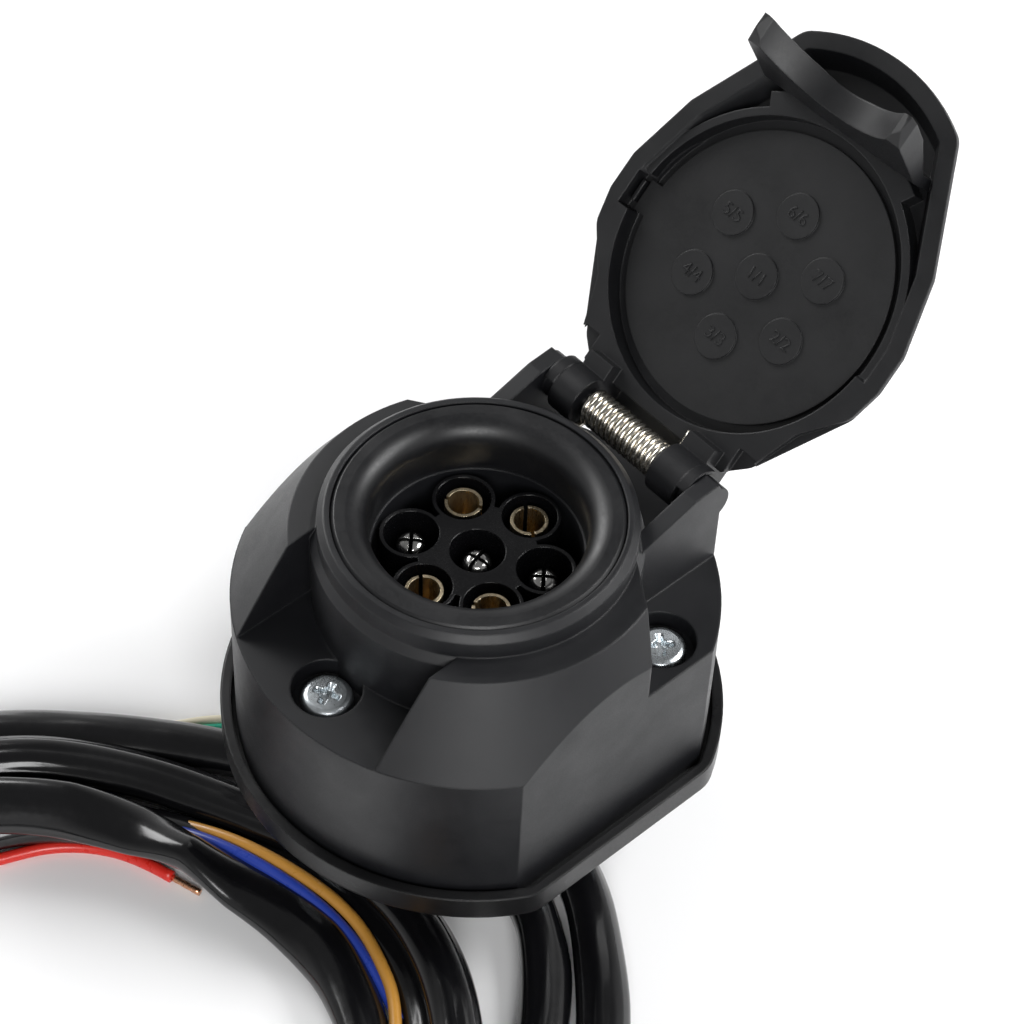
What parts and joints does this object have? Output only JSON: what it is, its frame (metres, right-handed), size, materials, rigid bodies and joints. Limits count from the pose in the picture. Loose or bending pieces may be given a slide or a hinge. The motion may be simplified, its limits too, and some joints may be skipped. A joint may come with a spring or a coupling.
{
  "type": "trailer wiring connector",
  "caption": "Round trailer socket with pin and tube contacts in a sealed mouth, a sprung hinged lid, a rubber rear gasket and a coiled wiring harness.",
  "frame": {"origin": "centre of the three fixing studs, on the gasket's back face", "axes": "+Z out of the plug mouth, +Y towards the lid's hinge, X along the hinge"},
  "size_m": [0.1561, 0.2557, 0.1273],
  "materials": {
    "housing_plastic": "fine moulded grain",
    "lid_plastic": "fine moulded grain",
    "gasket_rubber": "satin rubber",
    "seal_rubber": "smooth soft rubber",
    "disc_rubber": "smooth soft rubber",
    "carrier_plastic": "satin moulded plastic",
    "brass": "turned brass",
    "nickel": "nickel plated",
    "zinc": "bright zinc plate",
    "spring_steel": "nickel plated spring wire",
    "hinge_steel": "blackened steel pin",
    "sleeve_pvc": "glossy soft sleeving",
    "wire_blue": "soft insulation",
    "wire_white": "soft insulation",
    "wire_green": "soft insulation",
    "wire_brown": "soft insulation",
    "wire_red": "soft insulation",
    "wire_black": "soft insulation",
    "wire_yellow": "soft insulation"
  },
  "bodies": {
    "socket": {"housing": "housing_plastic", "rear_gasket": "gasket_rubber", "cable_boot": "gasket_rubber", "mouth_seal": "seal_rubber", "contact_carrier": "carrier_plastic", "carrier_screws": "zinc", "terminal_screws": "brass", "hinge_pin": "hinge_steel", "lid_spring": "spring_steel", "fixing_screws": "zinc", "harness_lead": "sleeve_pvc", "harness_coil": "sleeve_pvc", "contact_tube_1": "brass", "contact_tube_2": "brass", "contact_tube_3": "brass", "contact_tube_4": "brass", "contact_pin_1": "nickel", "contact_pin_2": "nickel", "contact_pin_3": "nickel", "inner_wire_blue": "wire_blue", "inner_wire_white": "wire_white", "inner_wire_green": "wire_green", "inner_wire_brown": "wire_brown", "inner_wire_red": "wire_red", "inner_wire_black": "wire_black", "inner_wire_yellow": "wire_yellow"},
    "lid": {"lid": "lid_plastic", "lid_seal_disc": "disc_rubber"}
  },
  "joints": [
    {"name": "lid_hinge", "type": "hinge", "parent": "socket", "child": "lid", "pos_m": [0, 0.0337, 0.047], "axis": [1, 0, 0], "range_deg": [0, 135], "deforming": ["lid_spring"]}
  ]
}
